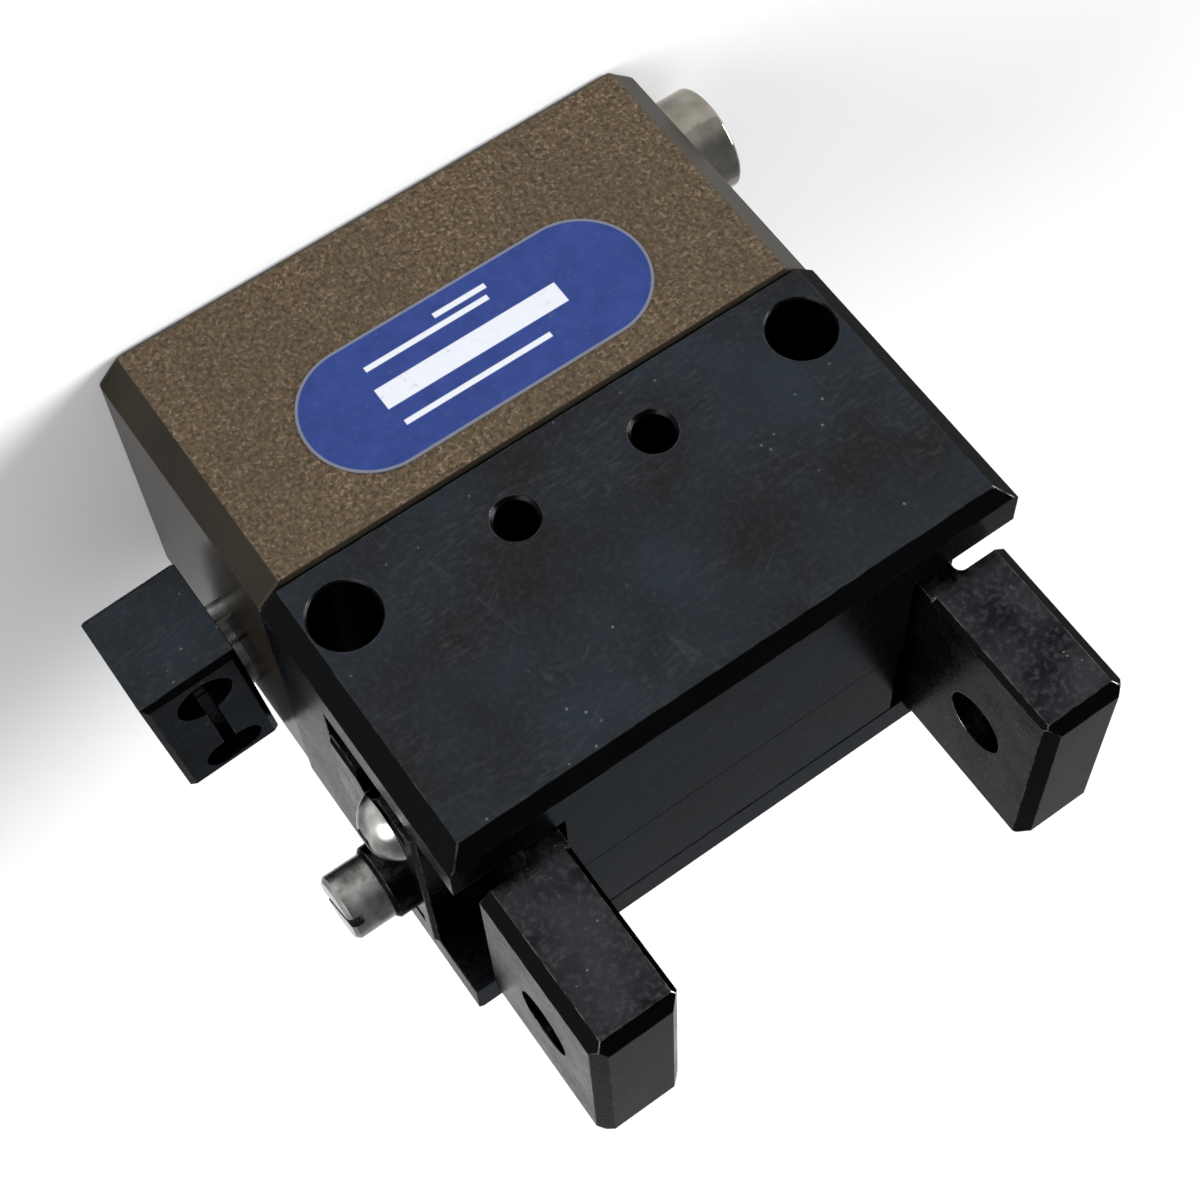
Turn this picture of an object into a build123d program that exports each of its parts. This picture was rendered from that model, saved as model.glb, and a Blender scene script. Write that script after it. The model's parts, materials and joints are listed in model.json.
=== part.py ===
from build123d import *
import math
import os

# Two-finger parallel gripper for small components, in millimetres.
# X is the stroke direction, -Y the front face with the label, +Z points to the fingers.
# The origin is the centre of the mounting face of the housing.
# Everything is drawn with the gripper closed: the piston stands at the finger end of its bore.
# The jaws open outward while the piston and its hook go down towards the mounting face.

# ---- outside ----
BLOCK_WIDTH = 50.0
BODY_DEPTH = 32.0
BODY_HEIGHT = 49.0
HOUSING_WIDTH = 49.6
SEAM_Z = 24.0
HOUSING_CHAMFER = 2.0
BLOCK_SIDE_CHAMFER = 1.6
BLOCK_END_CHAMFER = 1.2
SEAM_CHAMFER = 0.3
BASE_ROUND = 0.8

# ---- motion ----
PISTON_STROKE = 8.0
JAW_STROKE = 6.0

# ---- small gaps ----
PLAY = 0.02          # a screw or pin in its own hole
RUN = 0.03           # round parts that slide in each other
SLIDE = 0.05         # flat parts that slide on each other

# ---- cylinder ----
BORE_R = 10.0
SEAT_R = 11.0
SEAT_DEPTH = 4.8
BORE_END_Z = 19.3
COVER_Z = 1.6
RING_GROOVE_R = 11.6
RING_THICKNESS = 1.0
ROD_R = 4.0
ROD_SEAL_R = 5.5
ROD_SEAL_Z = 20.4
ROD_SEAL_HEIGHT = 2.2
PISTON_Z = 13.0
PISTON_HEIGHT = 6.0
PISTON_STEP = 1.2
PISTON_STEP_R = 7.0
PISTON_SEAL_HEIGHT = 2.0
PISTON_SEAL_R = 7.8
PISTON_SCREW_R = 2.0
PISTON_SCREW_LENGTH = 9.0
PISTON_SCREW_HEAD_R = 3.5
PISTON_SCREW_HEAD_HEIGHT = 2.1
PISTON_SCREW_SINK = 2.2
ROD_SOCKET = 2.0
ROD_THREAD_DEPTH = 8.0

# ---- air ways ----
PORT_Y = 8.0
PORT_Z = 5.5
PORT_R = 2.1
PORT_DEPTH = 6.0
CHANNEL_R = 1.0
RISER_X = -9.0
RISER_Y = 9.3
UPPER_CHANNEL_Z = 18.2
PLUG_R = 1.5
PLUG_DEPTH = 3.0

# ---- fastening holes ----
BASE_HOLE_X = 20.0
BASE_HOLE_Y = 12.5
M4_CORE_R = 1.65
M4_MOUTH_R = 1.95
BASE_HOLE_DEPTH = 9.0
THROUGH_HOLE_X = 20.4
THROUGH_HOLE_Z = 28.8
THROUGH_HOLE_R = 2.75
THROUGH_HOLE_MOUTH = 0.15
FRONT_THREAD_X = 6.15
FRONT_THREAD_Z = 29.5
FRONT_THREAD_DEPTH = 9.0
BLOCK_SCREW_X = 14.2
BLOCK_SCREW_Y = 7.0
BLOCK_SCREW_LENGTH = 14.0
M3_R = 1.5
M3_HEAD_R = 2.75
M3_HEAD_HEIGHT = 3.0
M3_HEAD_SINK = 0.4
M3_SOCKET = 2.5
DOWEL_R = 1.5
DOWEL_Z = (19.8, 25.8)

# ---- guide slot, rails and rollers ----
SLOT_HALF = 11.0
SLOT_FLOOR_Z = 32.0
COVER_HALF = 15.6
COVER_PIN_X = 10.0
COVER_PIN_R = 0.8
COVER_UNDER_Z = 46.2
REAR_COVER_GAP = 0.4
COVER_SPLIT_Y = 0.03
COVER_PIN_Y = (-3.8, 13.8)
HOOK_POCKET_X = 10.8
HOOK_POCKET_Y = 5.3
RAIL_Z = (33.0, 42.0)
RAIL_FACE_Y = 8.1
RAIL_HALF_LENGTH = 24.5
RAIL_SCREW_X = (-20.0, -7.0, 7.0, 20.0)
RAIL_SCREW_Z = 40.3
RAIL_SCREW_R = 0.8
RAIL_SCREW_HEAD_R = 1.35
RAIL_SCREW_DEPTH = 2.6
GROOVE_Y = 7.7
GROOVE_Z = 37.0
GROOVE_SIDE = 2.5
ROLLER_SIZE = 2.4
ROLLER_COUNT = 5
ROLLER_PITCH = 3.2
CAGE_START_X = 2.6
CAGE_LENGTH = 16.6
CAGE_Y = (7.45, 7.95)
CAGE_HALF_HEIGHT = 2.5

# ---- wedge hook ----
HOOK_Z = 32.2
HOOK_HEIGHT = 11.0
HOOK_ROOT_X = 0.8
HOOK_CORE_Y = 3.0
HOOK_HEAD_Y = 5.0
HOOK_NECK = 1.5
HOOK_HEAD = 3.0

# ---- jaws ----
JAW_BASE_X = (0.3, 25.3)
JAW_BASE_Y = 7.3
JAW_BASE_Z = (32.2, 44.0)
JAW_FLANGE_Z = 42.5
JAW_FLANGE_Y = 10.7
FINGER_X = (16.2, 23.6)
FINGER_Y = 10.2
FINGER_Z = (49.9, 64.1)
FINGER_CHAMFER = 1.0
FINGER_INNER_CHAMFER = 0.45
NECK_OUTER_X = 19.2
NECK_ROUND = 0.7
JAW_HOLE_Z = 57.0
JAW_HOLE_R = 2.75
CAM_SCREW_Y = 4.5
CAM_SCREW_Z = 39.5
CAM_THREAD_DEPTH = 7.0
SPACER_LENGTH = 1.9
SPACER_R = 3.1

# ---- sensor bracket on the +X side ----
# The bracket is drawn square to the housing and then turned about its front inner edge.
BRACKET_X = (26.4, 35.0)
BRACKET_Y = (-1.0, 15.6)
BRACKET_Z = (9.6, 19.4)
BRACKET_TURN = 4.6
SENSOR_X = 30.3
SENSOR_Y = 2.7
SENSOR_R = 2.5
SLIT_WIDTH = 1.1
RELIEF_Y = 13.0
RELIEF_LENGTH = 5.2
RELIEF_WIDTH = 3.4
WASHER_OUTER_X = 25.6
BRACKET_SCREW_Y = 8.8
BRACKET_PIN_Y = 0.9
BRACKET_PIN_R = 0.9
BRACKET_PIN_END_X = 27.0
BRACKET_SEAT_X = 31.9
BRACKET_MIDDLE_Z = sum(BRACKET_Z) / 2
WASHER_R = 2.9

# ---- label ----
LABEL_X = 0.1
LABEL_Z = 15.4
LABEL_LENGTH = 30.3
LABEL_WIDTH = 11.4
LABEL_THICKNESS = 0.1

FRONT_Y = -BODY_DEPTH / 2
REAR_Y = BODY_DEPTH / 2
HOUSING_HALF = HOUSING_WIDTH / 2
BLOCK_HALF = BLOCK_WIDTH / 2
SLOPE = JAW_STROKE / PISTON_STROKE

os.makedirs("parts", exist_ok=True)


def save(shape, name):
    """Write one node, as one solid or as a group of separate solids."""
    solids = list(shape) if isinstance(shape, list) else [shape]
    export_step(Compound(children=solids) if len(solids) > 1 else solids[0], f"parts/{name}.step")


# ---- simple shapes in the part's frame ----
def block(x, y, z):
    """A box from three (low, high) pairs."""
    size = [high - low for low, high in (x, y, z)]
    middle = [(high + low) / 2 for low, high in (x, y, z)]
    return Pos(*middle) * Box(*size)


def rod_x(radius, x, y, z):
    """A cylinder along X between the two values of x."""
    return Pos((x[0] + x[1]) / 2, y, z) * Rot(0, 90, 0) * Cylinder(radius, x[1] - x[0])


def rod_y(radius, x, y, z):
    """A cylinder along Y between the two values of y."""
    return Pos(x, (y[0] + y[1]) / 2, z) * Rot(90, 0, 0) * Cylinder(radius, y[1] - y[0])


def rod_z(radius, x, y, z):
    """A cylinder along Z between the two values of z."""
    return Pos(x, y, (z[0] + z[1]) / 2) * Cylinder(radius, z[1] - z[0])


def ring_z(outer, inner, z, x=0.0, y=0.0):
    """A flat ring about a Z axis."""
    return rod_z(outer, x, y, z) - rod_z(inner, x, y, (z[0] - 1, z[1] + 1))


def plate_xz(points, y):
    """An outline in the XZ plane, made solid between the two values of y."""
    outline = make_face(Polyline([(px, 0, pz) for px, pz in points], close=True))
    return Pos(0, y[1], 0) * extrude(outline, amount=y[1] - y[0], dir=(0, -1, 0))


def mirrored(shape):
    """The same shape on the other side of the middle plane."""
    return mirror(shape, about=Plane.YZ)


def mouth(radius, depth):
    """A short cone that widens a hole's mouth; its wide end faces +Z at the origin."""
    return Pos(0, 0, -depth / 2) * Cone(radius, radius + depth, depth)


def hex_socket(width, depth):
    """A hexagonal recess below the origin."""
    return extrude(RegularPolygon(width / 2, 6, major_radius=False), amount=-depth)


def cap_screw(shank_r, length, head_r, head_height, socket):
    """A socket head cap screw: the head's seat is at the origin and the shank points to -Z."""
    head = Pos(0, 0, head_height / 2) * Cylinder(head_r, head_height)
    head = chamfer(head.edges().group_by(Axis.Z)[-1], 0.25)
    shank = Pos(0, 0, -length / 2) * Cylinder(shank_r, length)
    shank = chamfer(shank.edges().group_by(Axis.Z)[0], 0.3)
    recess = Pos(0, 0, head_height) * hex_socket(socket, head_height * 0.55)
    return head + shank - recess


def beam(size, length, y, z):
    """A square bar along X, standing on its edge."""
    return Pos(0, y, z) * Rot(45, 0, 0) * Box(length, size, size)


# ---- housing and cylinder ----
def housing():
    body = block((-HOUSING_HALF, HOUSING_HALF), (FRONT_Y, REAR_Y), (0, SEAM_Z))
    body = chamfer(body.edges().filter_by(Axis.Z), HOUSING_CHAMFER)
    body = fillet(body.faces().sort_by(Axis.Z)[0].edges(), BASE_ROUND)
    body = chamfer(body.faces().sort_by(Axis.Z)[-1].edges(), SEAM_CHAMFER)
    body -= rod_z(SEAT_R, 0, 0, (-1, SEAT_DEPTH))
    body -= rod_z(RING_GROOVE_R, 0, 0, (COVER_Z - RING_THICKNESS - 0.1, COVER_Z))
    body -= rod_z(BORE_R, 0, 0, (SEAT_DEPTH - 1, BORE_END_Z))
    body -= rod_z(ROD_R + RUN, 0, 0, (BORE_END_Z - 1, SEAM_Z + 1))
    body -= rod_z(ROD_SEAL_R, 0, 0, (ROD_SEAL_Z, ROD_SEAL_Z + ROD_SEAL_HEIGHT))
    for x in (-BASE_HOLE_X, BASE_HOLE_X):
        for y in (-BASE_HOLE_Y, BASE_HOLE_Y):
            body -= rod_z(M4_CORE_R, x, y, (-1, BASE_HOLE_DEPTH))
            body -= Pos(x, y, 0) * Rot(180, 0, 0) * mouth(M4_CORE_R, M4_MOUTH_R - M4_CORE_R)
    for y in (-PORT_Y, PORT_Y):
        body -= rod_x(PORT_R, (-HOUSING_HALF - 1, PORT_DEPTH - HOUSING_HALF), y, PORT_Z)
        body -= Pos(-HOUSING_HALF, y, PORT_Z) * Rot(0, -90, 0) * mouth(PORT_R, 0.4)
    body -= air_ways()
    for x in (-BLOCK_SCREW_X, BLOCK_SCREW_X):
        for y in (-BLOCK_SCREW_Y, BLOCK_SCREW_Y):
            body -= rod_z(M3_R, x, y, (block_screw_seat_z() - BLOCK_SCREW_LENGTH - 1, SEAM_Z + 1))
    for x in (-THROUGH_HOLE_X, THROUGH_HOLE_X):
        body -= rod_z(DOWEL_R, x, 0, (DOWEL_Z[0] - 0.5, SEAM_Z + 1))
    body -= rod_x(M3_R, (HOUSING_HALF - 8, HOUSING_HALF + 1), BRACKET_SCREW_Y, BRACKET_MIDDLE_Z)
    body -= rod_x(BRACKET_PIN_R + PLAY, (HOUSING_HALF - 4, HOUSING_HALF + 1), BRACKET_PIN_Y, BRACKET_MIDDLE_Z)
    return body


def air_ways():
    """The drillings from the two ports to the two ends of the cylinder."""
    inner_x = PORT_DEPTH - HOUSING_HALF - 1
    lower = rod_x(CHANNEL_R * 0.9, (inner_x, -5.0), -PORT_Y, PORT_Z + 0.2)
    feed = rod_x(CHANNEL_R, (inner_x, RISER_X), PORT_Y, PORT_Z)
    riser = rod_z(CHANNEL_R, RISER_X, RISER_Y, (PORT_Z - 1, SEAM_Z + 1))
    riser_mouth = rod_z(PLUG_R, RISER_X, RISER_Y, (SEAM_Z - PLUG_DEPTH, SEAM_Z + 1))
    cross = rod_y(CHANNEL_R, RISER_X, (3.5, REAR_Y + 1), UPPER_CHANNEL_Z)
    cross_mouth = rod_y(PLUG_R, RISER_X, (REAR_Y - PLUG_DEPTH, REAR_Y + 1), UPPER_CHANNEL_Z)
    return lower + feed + riser + riser_mouth + cross + cross_mouth


def channel_plugs():
    """Pressed plugs that close the two drillings which come out of the housing."""
    length = PLUG_DEPTH - 0.3
    top = rod_z(PLUG_R - PLAY, RISER_X, RISER_Y, (SEAM_Z - PLUG_DEPTH, SEAM_Z - PLUG_DEPTH + length))
    rear_end = REAR_Y - PLUG_DEPTH + length
    rear = rod_y(PLUG_R - PLAY, RISER_X, (REAR_Y - PLUG_DEPTH, rear_end), UPPER_CHANNEL_Z)
    return [top, rear]


def cylinder_cover():
    cover = rod_z(SEAT_R - PLAY, 0, 0, (COVER_Z, SEAT_DEPTH))
    cover = chamfer(cover.edges().group_by(Axis.Z)[0], 0.3)
    cover -= ring_z(SEAT_R + 1, SEAT_R - 1.5, (COVER_Z + 1.0, COVER_Z + 2.6))
    return cover - rod_z(2.0, 0, 0, (COVER_Z - 1, COVER_Z + 1.2))


def cover_o_ring():
    section_r = 0.7
    return Pos(0, 0, COVER_Z + 1.8) * Torus(SEAT_R - PLAY - section_r, section_r)


def retaining_ring():
    """An open spring ring with two eyes for the pliers."""
    z = (COVER_Z - RING_THICKNESS, COVER_Z)
    ring = ring_z(RING_GROOVE_R - 0.05, SEAT_R - 1.4, z)
    ring -= block((-2.2, 2.2), (0, RING_GROOVE_R + 1), (z[0] - 1, z[1] + 1))
    for x in (-3.2, 3.2):
        ring += rod_z(1.5, x, SEAT_R - 2.4, z)
        ring -= rod_z(0.6, x, SEAT_R - 2.4, (z[0] - 1, z[1] + 1))
    return ring


def piston():
    top = PISTON_Z + PISTON_HEIGHT
    body = rod_z(PISTON_STEP_R, 0, 0, (PISTON_Z, top))
    disc = rod_z(BORE_R - RUN, 0, 0, (PISTON_Z + PISTON_STEP, top - PISTON_STEP))
    body += chamfer(disc.edges(), 0.2)
    body -= ring_z(BORE_R + 1, PISTON_SEAL_R, piston_seal_z(0.0))
    body -= rod_z(ROD_R + PLAY, 0, 0, (top - ROD_SOCKET, top + 1))
    body -= rod_z(PISTON_SCREW_R, 0, 0, (PISTON_Z - 1, top + 1))
    return body - rod_z(PISTON_SCREW_HEAD_R + 0.1, 0, 0, (PISTON_Z - 1, PISTON_Z + PISTON_SCREW_SINK))


def piston_seal_z(gap):
    """The lower and upper side of the piston's seal groove, less a gap at each side."""
    middle = PISTON_Z + PISTON_HEIGHT / 2
    return (middle - PISTON_SEAL_HEIGHT / 2 + gap, middle + PISTON_SEAL_HEIGHT / 2 - gap)


def piston_seal():
    seal = ring_z(BORE_R - PLAY, PISTON_SEAL_R + PLAY, piston_seal_z(0.04))
    return seal - Pos(0, 0, PISTON_Z + PISTON_HEIGHT / 2) * Torus(BORE_R, 0.4)


def piston_screw():
    shank_r = PISTON_SCREW_R - PLAY
    screw = cap_screw(shank_r, PISTON_SCREW_LENGTH, PISTON_SCREW_HEAD_R, PISTON_SCREW_HEAD_HEIGHT, M3_SOCKET)
    return Pos(0, 0, PISTON_Z + PISTON_SCREW_SINK) * Rot(180, 0, 0) * screw


def rod_seal():
    z = (ROD_SEAL_Z + 0.04, ROD_SEAL_Z + ROD_SEAL_HEIGHT - 0.04)
    return ring_z(ROD_SEAL_R - PLAY, ROD_R + RUN, z)


# ---- wedge hook: rod and hook in one piece ----
def hook_line(z, offset):
    """X of the hook's sloping side at height z, offset outward at right angles to it."""
    return HOOK_ROOT_X + SLOPE * (z - HOOK_Z) + offset * math.hypot(1, SLOPE)


def hook_band(z, inner, outer, half_y):
    """A sloping bar along the hook's +X side, between two offsets from its root line."""
    points = [
        (hook_line(z[0], inner), z[0]),
        (hook_line(z[0], outer), z[0]),
        (hook_line(z[1], outer), z[1]),
        (hook_line(z[1], inner), z[1]),
    ]
    return plate_xz(points, (-half_y, half_y))


def wedge_hook():
    z = (HOOK_Z, HOOK_Z + HOOK_HEIGHT)
    core_low = hook_line(z[0], HOOK_NECK)
    core_high = hook_line(z[1], HOOK_NECK)
    outline = [(-core_low, z[0]), (core_low, z[0]), (core_high, z[1]), (-core_high, z[1])]
    hook = plate_xz(outline, (-HOOK_CORE_Y, HOOK_CORE_Y))
    head = hook_band(z, HOOK_NECK - 0.2, HOOK_HEAD, HOOK_HEAD_Y)
    neck_side = hook_band(z, HOOK_NECK - 0.2, HOOK_NECK, HOOK_HEAD_Y)
    head -= neck_side
    head += hook_band(z, HOOK_NECK - 0.2, HOOK_HEAD, HOOK_CORE_Y)
    hook += head + mirrored(head)
    rod_start = PISTON_Z + PISTON_HEIGHT - ROD_SOCKET
    hook += rod_z(ROD_R, 0, 0, (rod_start, HOOK_Z))
    return hook - rod_z(PISTON_SCREW_R, 0, 0, (rod_start - 1, rod_start + ROD_THREAD_DEPTH))


# ---- guide block and its cover ----
def guide_block():
    body = block((-BLOCK_HALF, BLOCK_HALF), (FRONT_Y, REAR_Y), (SEAM_Z, BODY_HEIGHT))
    body = chamfer(body.edges().filter_by(Axis.Z), BLOCK_SIDE_CHAMFER)
    body = chamfer(body.faces().sort_by(Axis.Z)[-1].edges().filter_by(Axis.X), BLOCK_END_CHAMFER)
    body = chamfer(body.faces().sort_by(Axis.Z)[0].edges(), SEAM_CHAMFER)
    slot = block((-30, 30), (-SLOT_HALF, SLOT_HALF), (SLOT_FLOOR_Z, BODY_HEIGHT + 1))
    front_cover_y = (-SLOT_HALF - 1, -COVER_SPLIT_Y)
    slot -= block((-COVER_HALF, COVER_HALF), front_cover_y, (COVER_UNDER_Z, BODY_HEIGHT + 2))
    body -= slot
    body -= block(
        (-HOOK_POCKET_X, HOOK_POCKET_X), (-HOOK_POCKET_Y, HOOK_POCKET_Y), (SEAM_Z - 1, SLOT_FLOOR_Z + 1)
    )
    for x in (-THROUGH_HOLE_X, THROUGH_HOLE_X):
        body -= rod_y(THROUGH_HOLE_R, x, (FRONT_Y - 1, REAR_Y + 1), THROUGH_HOLE_Z)
        body -= Pos(x, FRONT_Y, THROUGH_HOLE_Z) * Rot(90, 0, 0) * mouth(THROUGH_HOLE_R, THROUGH_HOLE_MOUTH)
        body -= Pos(x, REAR_Y, THROUGH_HOLE_Z) * Rot(-90, 0, 0) * mouth(THROUGH_HOLE_R, THROUGH_HOLE_MOUTH)
        body -= rod_z(DOWEL_R, x, 0, (SEAM_Z - 1, DOWEL_Z[1] + 0.1))
    for x in (-FRONT_THREAD_X, FRONT_THREAD_X):
        body -= rod_y(M4_CORE_R, x, (FRONT_Y - 1, FRONT_Y + FRONT_THREAD_DEPTH), FRONT_THREAD_Z)
        front_mouth = mouth(M4_CORE_R, M4_MOUTH_R - M4_CORE_R)
        body -= Pos(x, FRONT_Y, FRONT_THREAD_Z) * Rot(90, 0, 0) * front_mouth
    for x in (-BLOCK_SCREW_X, BLOCK_SCREW_X):
        for y in (-BLOCK_SCREW_Y, BLOCK_SCREW_Y):
            body -= rod_z(M3_R + 0.15, x, y, (SEAM_Z - 1, SLOT_FLOOR_Z + 1))
            body -= rod_z(M3_HEAD_R + 0.1, x, y, (block_screw_seat_z(), SLOT_FLOOR_Z + 1))
    for x in RAIL_SCREW_X:
        for side in (-1, 1):
            y = sorted((side * (SLOT_HALF - 1), side * (SLOT_HALF + RAIL_SCREW_DEPTH)))
            body -= rod_y(RAIL_SCREW_R, x, y, RAIL_SCREW_Z)
    for x in (-COVER_PIN_X, COVER_PIN_X):
        body -= rod_y(COVER_PIN_R, x, (COVER_PIN_Y[0] - 0.2, COVER_PIN_Y[1] + 0.2), cover_pin_z())
    return body


def block_screw_seat_z():
    return SLOT_FLOOR_Z - M3_HEAD_HEIGHT - M3_HEAD_SINK


def cover_pin_z():
    return (COVER_UNDER_Z + BODY_HEIGHT) / 2


def slot_cover():
    """The loose rear half of the cover between the jaws."""
    y = (COVER_SPLIT_Y, SLOT_HALF - REAR_COVER_GAP)
    cover = block((-COVER_HALF, COVER_HALF), y, (COVER_UNDER_Z, BODY_HEIGHT))
    cover = chamfer(cover.faces().sort_by(Axis.Z)[-1].edges().filter_by(Axis.Y), 0.35)
    for x in (-COVER_PIN_X, COVER_PIN_X):
        cover -= rod_y(COVER_PIN_R, x, (-1, SLOT_HALF), cover_pin_z())
    return cover


def cover_pins():
    return [rod_y(COVER_PIN_R - PLAY, x, COVER_PIN_Y, cover_pin_z()) for x in (-COVER_PIN_X, COVER_PIN_X)]


def block_screws():
    screw = cap_screw(M3_R - PLAY, BLOCK_SCREW_LENGTH, M3_HEAD_R, M3_HEAD_HEIGHT, M3_SOCKET)
    spots = [(x, y) for x in (-BLOCK_SCREW_X, BLOCK_SCREW_X) for y in (-BLOCK_SCREW_Y, BLOCK_SCREW_Y)]
    return [Pos(x, y, block_screw_seat_z()) * screw for x, y in spots]


def dowel_pins():
    pins = [rod_z(DOWEL_R - PLAY, x, 0, DOWEL_Z) for x in (-THROUGH_HOLE_X, THROUGH_HOLE_X)]
    return [chamfer(pin.edges(), 0.2) for pin in pins]


# ---- cross roller guides ----
def guide_rail(side):
    """A hardened rail on one wall of the slot; side is -1 for the front wall, 1 for the rear."""
    y = sorted((side * RAIL_FACE_Y, side * SLOT_HALF))
    rail = block((-RAIL_HALF_LENGTH, RAIL_HALF_LENGTH), y, RAIL_Z)
    rail = chamfer(rail.edges().filter_by(Axis.X), 0.25)
    rail -= beam(GROOVE_SIDE, 60, side * GROOVE_Y, GROOVE_Z)
    for x in RAIL_SCREW_X:
        rail -= Pos(x, 0, RAIL_SCREW_Z) * rail_screw_room(side)
    return rail


def rail_screw_room(side):
    """The hole for one rail screw, with its sunk head."""
    shank = rod_y(RAIL_SCREW_R, 0, sorted((side * RAIL_FACE_Y, side * (SLOT_HALF + 1))), 0)
    return shank + rod_y(RAIL_SCREW_HEAD_R + 0.05, 0, rail_head_y(side, 1.0), 0)


def rail_head_y(side, extra):
    """The span of a rail screw's head, which may be longer towards the jaws."""
    return sorted((side * (RAIL_FACE_Y - extra), side * (RAIL_FACE_Y + 1.1)))


def rail_screws():
    screws = []
    for side in (-1, 1):
        for x in RAIL_SCREW_X:
            shank_end = side * (SLOT_HALF + RAIL_SCREW_DEPTH - 0.2)
            shank = rod_y(RAIL_SCREW_R - PLAY, x, sorted((side * RAIL_FACE_Y, shank_end)), RAIL_SCREW_Z)
            head = rod_y(RAIL_SCREW_HEAD_R, x, rail_head_y(side, -0.1), RAIL_SCREW_Z)
            screws.append(shank + head - rail_screw_slot(x, side))
    return screws


def rail_screw_slot(x, side):
    """The driver slot of a rail screw."""
    y = sorted((side * (RAIL_FACE_Y - 1), side * (RAIL_FACE_Y + 0.6)))
    return block((x - 2, x + 2), y, (RAIL_SCREW_Z - 0.2, RAIL_SCREW_Z + 0.2))


def roller_x(index):
    """X of one roller of the cage on the +X side."""
    first = CAGE_START_X + CAGE_LENGTH / 2 - ROLLER_PITCH * (ROLLER_COUNT - 1) / 2
    return first + index * ROLLER_PITCH


def roller_cage(side):
    """A thin strip with a window for each roller, for the +X jaw."""
    y = sorted((side * CAGE_Y[0], side * CAGE_Y[1]))
    z = (GROOVE_Z - CAGE_HALF_HEIGHT, GROOVE_Z + CAGE_HALF_HEIGHT)
    cage = block((CAGE_START_X, CAGE_START_X + CAGE_LENGTH), y, z)
    for index in range(ROLLER_COUNT):
        x = roller_x(index)
        half = ROLLER_SIZE / 2 + 0.06
        window_z = (GROOVE_Z - 1.8, GROOVE_Z + 1.8)
        cage -= block((x - half, x + half), (y[0] - 1, y[1] + 1), window_z)
    return cage


def rollers():
    """The crossed rollers of both cages of the +X jaw: each lies at right angles to the next."""
    group = []
    for side in (-1, 1):
        for index in range(ROLLER_COUNT):
            tilt = 45 if index % 2 else -45
            roller = Cylinder(ROLLER_SIZE / 2, ROLLER_SIZE)
            roller = chamfer(roller.edges(), 0.15)
            group.append(Pos(roller_x(index), side * GROOVE_Y, GROOVE_Z) * Rot(tilt, 0, 0) * roller)
    return group


# ---- jaws ----
def jaw():
    """The jaw on the +X side: base in the slot, neck, and finger outside."""
    base = block(JAW_BASE_X, (-JAW_BASE_Y, JAW_BASE_Y), JAW_BASE_Z)
    base += block(JAW_BASE_X, (-JAW_FLANGE_Y, JAW_FLANGE_Y), (JAW_FLANGE_Z, JAW_BASE_Z[1]))
    base = chamfer(base.faces().sort_by(Axis.X)[-1].edges(), 0.3)
    for side in (-1, 1):
        base -= beam(GROOVE_SIDE, 80, side * GROOVE_Y, GROOVE_Z)
    base -= hook_room()
    for side in (-1, 1):
        depth = (JAW_BASE_X[1] - CAM_THREAD_DEPTH, JAW_BASE_X[1] + 1)
        base -= rod_x(M3_R, depth, side * CAM_SCREW_Y, CAM_SCREW_Z)
    return base + neck() + finger()


def hook_room():
    """The sloping T-slot that the wedge hook runs in."""
    z = (HOOK_Z - PISTON_STROKE, HOOK_Z + HOOK_HEIGHT + 0.15)
    room = hook_band(z, HOOK_NECK - SLIDE, HOOK_HEAD + SLIDE, HOOK_HEAD_Y + SLIDE)
    return room + hook_band(z, -25, HOOK_HEAD, HOOK_CORE_Y + SLIDE)


def neck():
    """The web through the slot's mouth, rounded into the finger's overhang."""
    web_z = (JAW_BASE_Z[1] - 0.5, FINGER_Z[0] + 0.5)
    web = block((FINGER_X[0], NECK_OUTER_X), (-FINGER_Y, FINGER_Y), web_z)
    corner_x = (NECK_OUTER_X - 0.1, NECK_OUTER_X + NECK_ROUND)
    corner_z = (FINGER_Z[0] - NECK_ROUND, FINGER_Z[0] + 0.5)
    corner = block(corner_x, (-FINGER_Y, FINGER_Y), corner_z)
    corner -= rod_y(NECK_ROUND, corner_x[1], (-FINGER_Y - 1, FINGER_Y + 1), corner_z[0])
    return web + corner


def finger():
    """The finger block: the three views of it with their cut corners, and the cross hole."""
    inner, outer = FINGER_X
    low, high = FINGER_Z
    edge = FINGER_CHAMFER
    small = FINGER_INNER_CHAMFER
    plan = [
        (inner + small, -FINGER_Y),
        (outer - edge, -FINGER_Y),
        (outer, edge - FINGER_Y),
        (outer, FINGER_Y - edge),
        (outer - edge, FINGER_Y),
        (inner + small, FINGER_Y),
        (inner, FINGER_Y - small),
        (inner, small - FINGER_Y),
    ]
    body = Pos(0, 0, low) * extrude(make_face(Polyline(plan, close=True)), amount=high - low)
    body &= plate_xz(pointed_box(inner, outer, low, high, edge), (-FINGER_Y - 1, FINGER_Y + 1))
    side_view = plate_xz(pointed_box(-FINGER_Y, FINGER_Y, low, high, edge), (-outer - 1, 1 - inner))
    body &= Rot(0, 0, 90) * side_view
    return body - rod_x(JAW_HOLE_R, (inner - 1, outer + 1), 0, JAW_HOLE_Z)


def pointed_box(left, right, low, high, edge):
    """A rectangle's corners with the two upper ones cut at 45 degrees."""
    return [
        (left, low),
        (right, low),
        (right, high - edge),
        (right - edge, high),
        (left + edge, high),
        (left, high - edge),
    ]


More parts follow.
